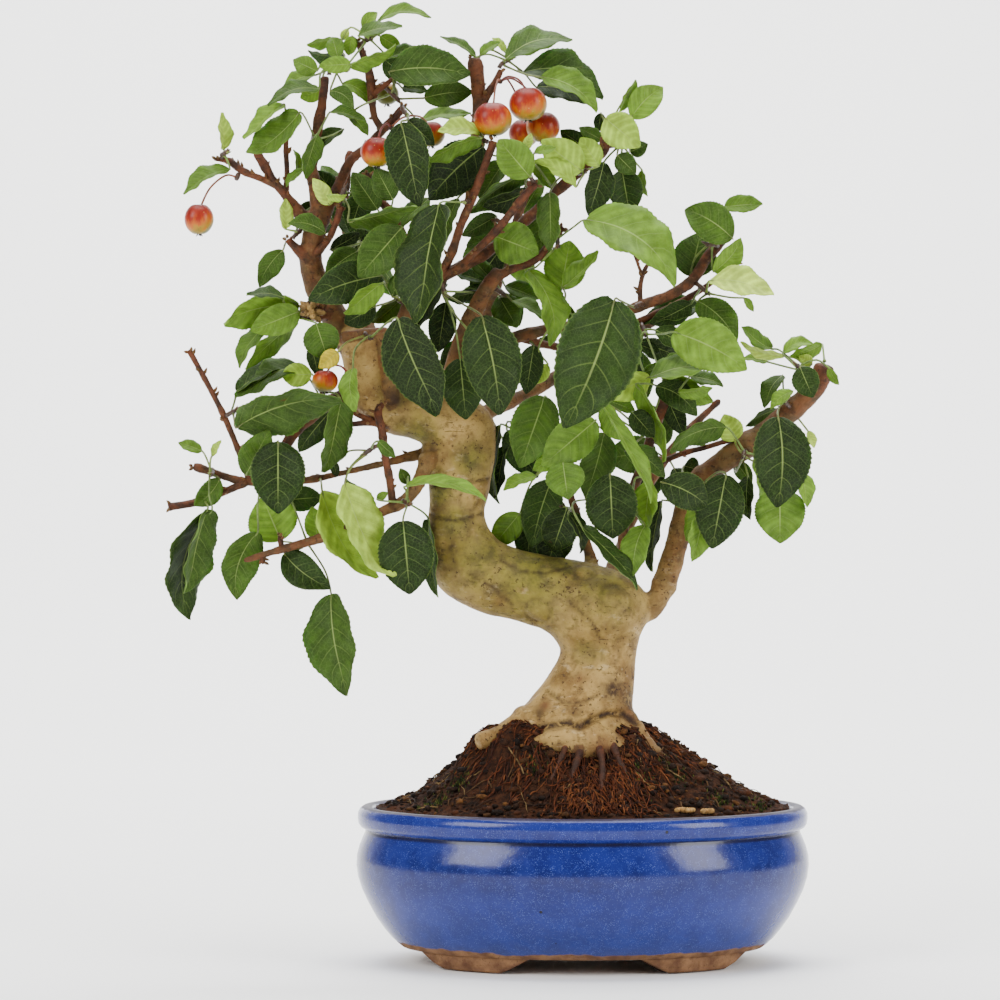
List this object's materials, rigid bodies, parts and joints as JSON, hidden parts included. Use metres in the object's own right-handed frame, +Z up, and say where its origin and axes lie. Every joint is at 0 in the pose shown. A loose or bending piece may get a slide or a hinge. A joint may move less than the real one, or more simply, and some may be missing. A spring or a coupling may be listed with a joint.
{
  "type": "bonsai tree",
  "caption": "Crabapple bonsai with a leaning trunk, toothed leaves and small red fruit, growing in soil in a shallow oval pot of blue glazed clay on low feet.",
  "frame": {"origin": "on the ground plane under the feet, midway across and through the whole plant", "axes": "+Z up, -Y towards the front that the picture shows, +X to the right of that view"},
  "size_m": [0.2667, 0.1404, 0.3827],
  "materials": {
    "pot_glaze": "glossy cobalt blue glaze, mottled with fine light-blue speckles, over brown clay",
    "peat": "matt dark crumbly peat",
    "bark": "matt pale tan bark with brown specks and green algae",
    "screen_plastic": "matt black",
    "dry_litter": "matt dry plant scrap",
    "fruit_skin": "waxy red skin, yellow-green below",
    "leaf": "thin leaf, semi-gloss dark green above and pale green below"
  },
  "bodies": {
    "root": {"pot": "pot_glaze", "soil": "peat", "wood": "bark", "drain_screen_left": "screen_plastic", "drain_screen_right": "screen_plastic", "litter_left": "dry_litter", "litter_right": "dry_litter", "fruit_far_left": "fruit_skin", "fruit_bunch_top": "fruit_skin", "fruit_pair": "fruit_skin", "fruit_shaded": "fruit_skin", "fruit_low_pink": "fruit_skin", "spray_far_left": "leaf", "spray_left_upright": "leaf", "spray_left_top": "leaf", "spray_top": "leaf", "spray_top_middle": "leaf", "spray_stub_top": "leaf", "spray_twig_a": "leaf", "spray_inner_spur": "leaf", "spray_twig_b": "leaf", "spray_twig_c": "leaf", "spray_twig_c_end": "leaf", "spray_left_stub": "leaf", "spray_left_spur": "leaf", "spray_bud_cluster": "leaf", "spray_middle_twig": "leaf", "spray_upper_limb": "leaf", "spray_trunk_top": "leaf", "spray_limb_joint": "leaf", "spray_folded": "leaf", "spray_twig_b_low": "leaf", "spray_centre_tip": "leaf", "spray_centre_limb": "leaf", "spray_behind_big": "leaf", "spray_big_leaf": "leaf", "spray_right_tip": "leaf", "spray_right_upper": "leaf", "spray_right_middle": "leaf", "spray_inner_right_top": "leaf", "spray_limb_end": "leaf", "spray_limb_near_end": "leaf", "spray_limb_under": "leaf", "spray_limb_crook": "leaf", "spray_inner_right_middle": "leaf", "spray_inner_right_low": "leaf", "spray_inner_left_low": "leaf", "spray_inner_left_middle": "leaf", "spray_left_upright_twig": "leaf", "spray_low_left_fork": "leaf", "spray_low_left": "leaf", "spray_dark_limb": "leaf", "spray_lowest_left": "leaf", "spray_red_twig": "leaf", "spray_red_twig_low": "leaf", "spray_back_left": "leaf", "spray_back_middle": "leaf", "spray_back_right": "leaf", "spray_back_low": "leaf"}
  },
  "joints": []
}
